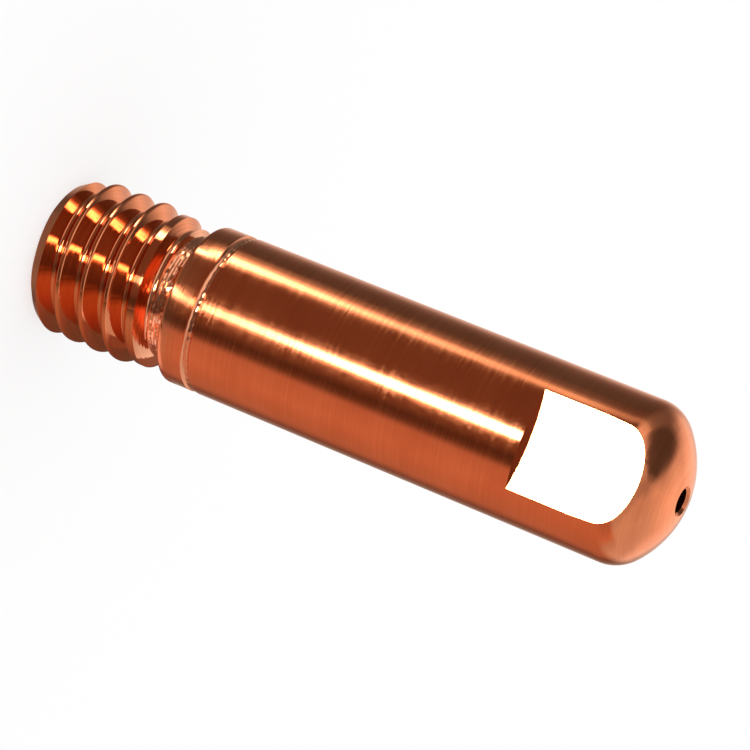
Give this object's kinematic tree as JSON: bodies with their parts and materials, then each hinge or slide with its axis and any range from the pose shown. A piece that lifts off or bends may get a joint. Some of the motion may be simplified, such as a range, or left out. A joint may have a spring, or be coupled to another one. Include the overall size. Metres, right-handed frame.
{
  "type": "welding contact tip",
  "caption": "Turned copper contact tip for a gas metal arc welding torch, with an outside thread, a ring groove, spanner flats and a domed nose around the wire bore.",
  "frame": {"origin": "centre of the flat threaded end that it stands on", "axes": "+Z along the axis from the threaded end to the nose, spanner flats facing -Y and +Y"},
  "size_m": [0.006, 0.006, 0.025],
  "materials": {
    "copper": "turned, bright"
  },
  "bodies": {
    "root": {"contact_tip": "copper"}
  },
  "joints": []
}
